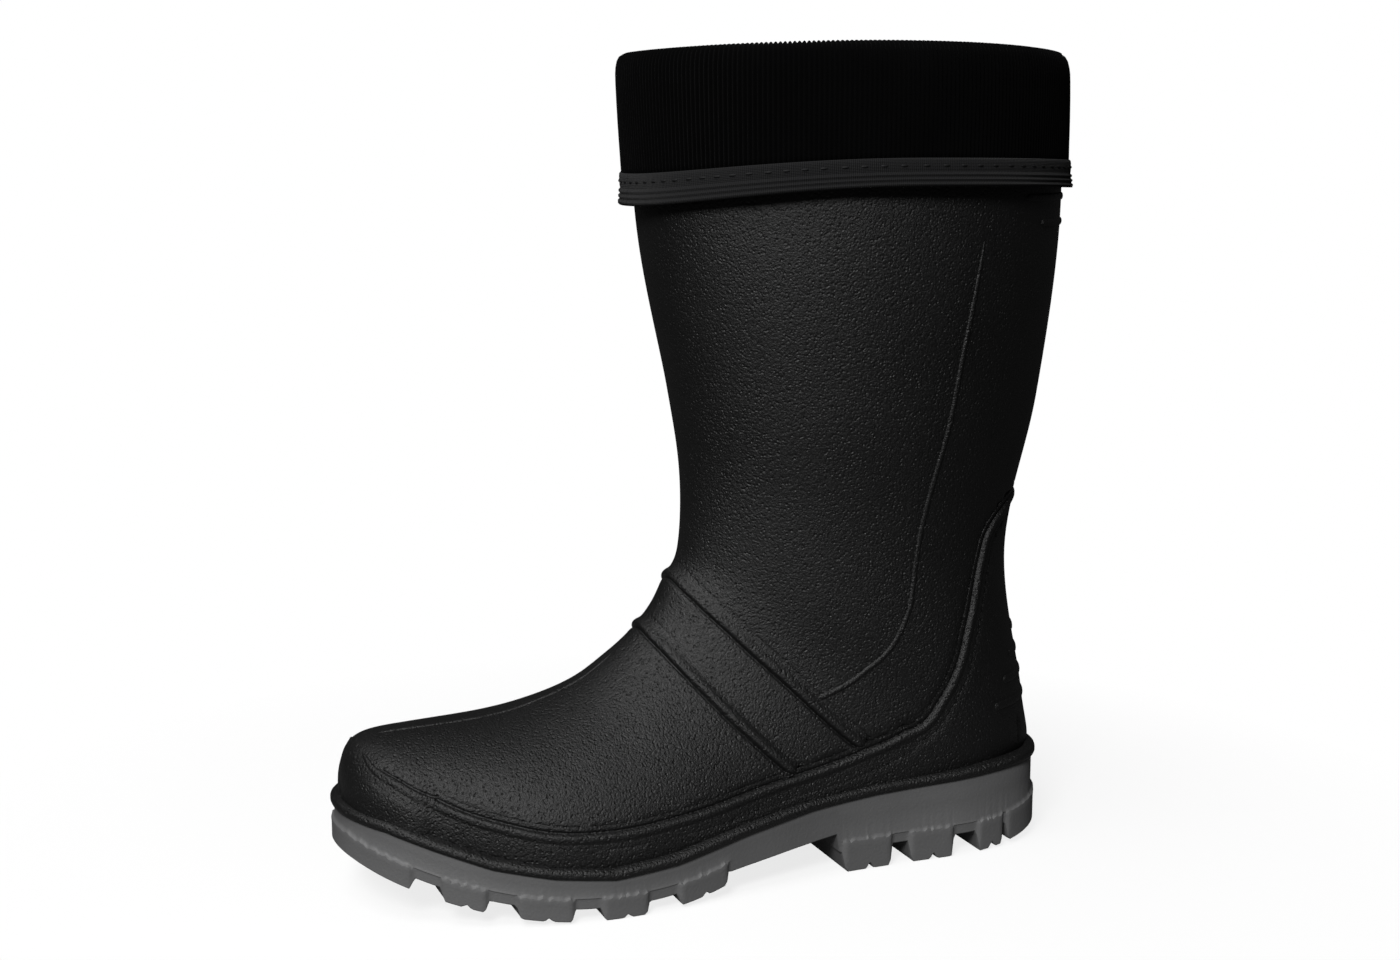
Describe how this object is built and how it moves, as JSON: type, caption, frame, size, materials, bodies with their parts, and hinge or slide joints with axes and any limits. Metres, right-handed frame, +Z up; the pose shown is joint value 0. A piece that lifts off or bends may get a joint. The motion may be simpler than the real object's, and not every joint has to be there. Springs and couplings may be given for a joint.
{
  "type": "wellington boot",
  "caption": "Knee-low foam wellington with a cleated rubber outsole and a pull-out felt liner whose corduroy cuff folds over the rim.",
  "frame": {"origin": "on the ground, under the middle of the boot's overall length and width", "axes": "+Z up the leg, toe towards -Y, the wearer's outer side towards +X; the boot is a left boot"},
  "size_m": [0.1452, 0.3075, 0.321],
  "materials": {
    "shell_foam": "fine pebble grain, semi-matte",
    "sole_rubber": "matte moulded",
    "liner_felt": "brushed felt",
    "seam_tape": "woven tape",
    "corduroy": "fine-wale corduroy",
    "binding_tape": "ribbed elastic binding",
    "thread": "twisted thread"
  },
  "bodies": {
    "shell": {"boot_shell": "shell_foam", "outsole": "sole_rubber"},
    "liner": {"liner_leg_lateral": "liner_felt", "liner_leg_medial": "liner_felt", "liner_foot_lateral": "liner_felt", "liner_foot_medial": "liner_felt", "liner_sole": "liner_felt", "leg_front_seam": "seam_tape", "leg_back_seam": "seam_tape", "ankle_seam": "seam_tape", "instep_seam": "seam_tape", "heel_seam": "seam_tape", "sole_seam": "seam_tape", "cuff": "corduroy", "cuff_join_seam": "seam_tape", "cuff_binding": "binding_tape", "cuff_stitching": "thread"}
  },
  "joints": [
    {"name": "liner_pull", "type": "slide", "parent": "shell", "child": "liner", "axis": [0, 0, 1], "range_m": [0, 0.34], "deforming": ["liner_foot_lateral", "liner_foot_medial", "liner_sole", "instep_seam", "heel_seam", "sole_seam"]}
  ]
}
